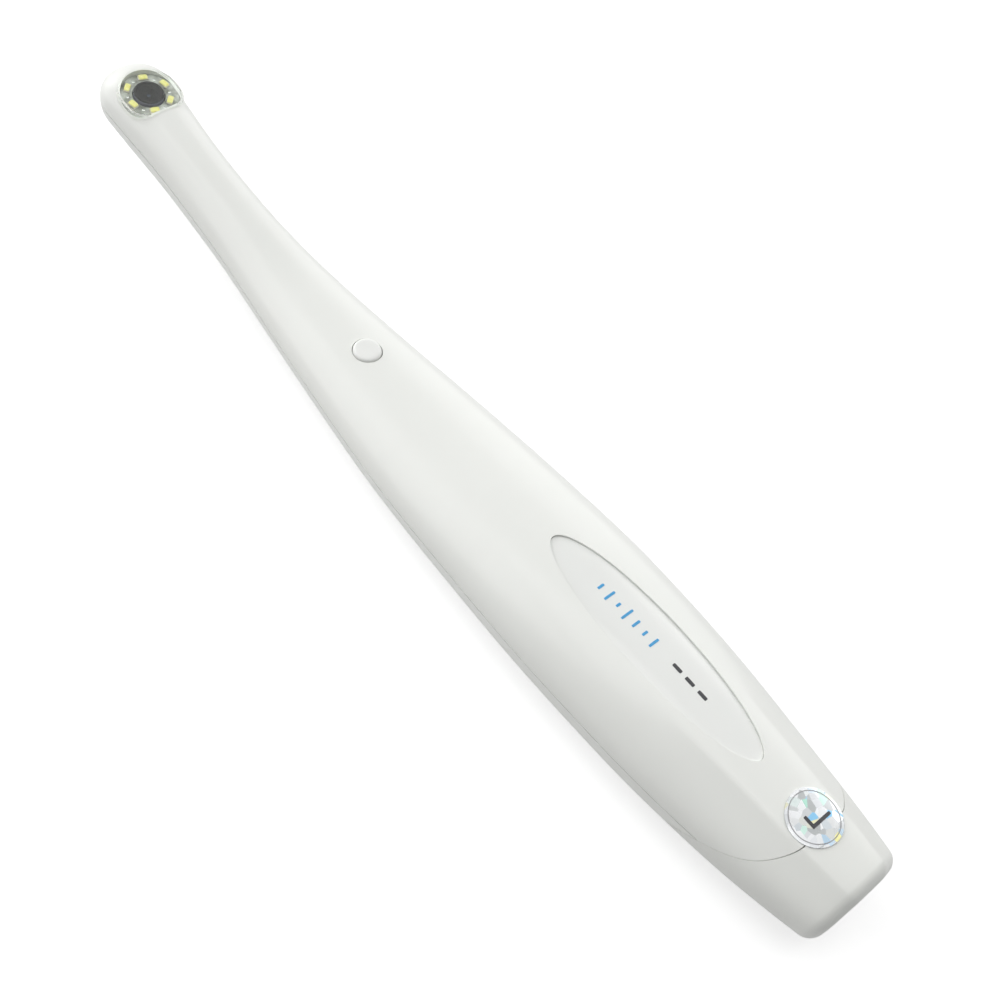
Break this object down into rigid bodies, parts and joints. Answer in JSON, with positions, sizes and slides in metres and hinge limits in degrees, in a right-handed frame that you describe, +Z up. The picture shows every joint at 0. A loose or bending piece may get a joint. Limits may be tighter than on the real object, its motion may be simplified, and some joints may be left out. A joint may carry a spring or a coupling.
{
  "type": "intraoral camera",
  "caption": "Slim white hand-held dental camera wand with a lit lens behind a window at its bent-up head, a press button on top and a round inlet in its tail.",
  "frame": {"origin": "on the resting surface, under the centre of the overall box", "axes": "+X along the wand from the lens head to the tail, +Z up with the button and the head's window on top, +Y completes the right-handed set"},
  "size_m": [0.199, 0.0298, 0.0198],
  "materials": {
    "shell_white": "glossy moulded plastic",
    "button_white": "satin moulded plastic",
    "window_clear": "clear, polished",
    "gasket_dark": "matte",
    "plate_white": "printed overlay, satin",
    "seal_foil": "iridescent foil",
    "barrel_black": "anodised black",
    "lens_glass": "coated glass",
    "filter_glass": "coated glass",
    "sensor_dark": "polished silicon",
    "board_green": "solder mask",
    "board_pale": "pale solder mask",
    "lamp_yellow": "phosphor gel",
    "flex_amber": "polyimide film",
    "connector_cream": "moulded",
    "chip_black": "moulded epoxy",
    "can_metal": "satin metal",
    "ferrite_grey": "ferrite",
    "screw_steel": "bright steel",
    "spring_steel": "spring steel",
    "socket_metal": "nickel plated",
    "contact_gold": "gold plated",
    "lead_red": "insulation",
    "lead_white": "insulation",
    "lead_green": "insulation",
    "lead_black": "insulation"
  },
  "bodies": {
    "housing": {"upper_shell": "shell_white", "lower_shell": "shell_white", "tail_cap": "shell_white", "head_window": "window_clear", "window_gasket": "gasket_dark", "nameplate": "plate_white", "seal_sticker": "seal_foil", "lens_barrel": "barrel_black", "front_lens": "lens_glass", "aperture_stop": "barrel_black", "rear_lens": "lens_glass", "ir_filter": "filter_glass", "lens_holder": "barrel_black", "image_sensor": "sensor_dark", "sensor_board": "board_green", "led_board": "board_pale", "led_1": "lamp_yellow", "led_2": "lamp_yellow", "led_3": "lamp_yellow", "led_4": "lamp_yellow", "led_5": "lamp_yellow", "led_6": "lamp_yellow", "flex_cable": "flex_amber", "flex_connector": "connector_cream", "main_board": "board_green", "image_processor": "chip_black", "memory_chip": "chip_black", "crystal": "can_metal", "regulator": "chip_black", "inductor": "ferrite_grey", "capacitor_1": "can_metal", "capacitor_2": "can_metal", "board_screw_1": "screw_steel", "board_screw_2": "screw_steel", "switch_base": "chip_black", "switch_cover": "can_metal", "switch_dome": "spring_steel", "socket_sleeve": "socket_metal", "socket_insert": "chip_black", "socket_pin_1": "contact_gold", "socket_pin_2": "contact_gold", "socket_pin_3": "contact_gold", "socket_pin_4": "contact_gold", "wire_connector": "connector_cream", "lead_1": "lead_red", "lead_2": "lead_white", "lead_3": "lead_green", "lead_4": "lead_black"},
    "button": {"snapshot_button": "button_white"},
    "plunger": {"switch_plunger": "chip_black"}
  },
  "joints": [
    {"name": "button_press", "type": "slide", "parent": "housing", "child": "button", "axis": [0, 0, -1], "range_m": [0, 0.0004], "stiffness_N_per_m": 400, "springref_m": -0.002},
    {"name": "plunger_press", "type": "slide", "parent": "housing", "child": "plunger", "axis": [0, 0, -1], "range_m": [0, 0.0004], "deforming": ["switch_dome"]}
  ],
  "couplings": [
    {"joint": "plunger_press", "follows": "button_press", "ratio": 1}
  ]
}
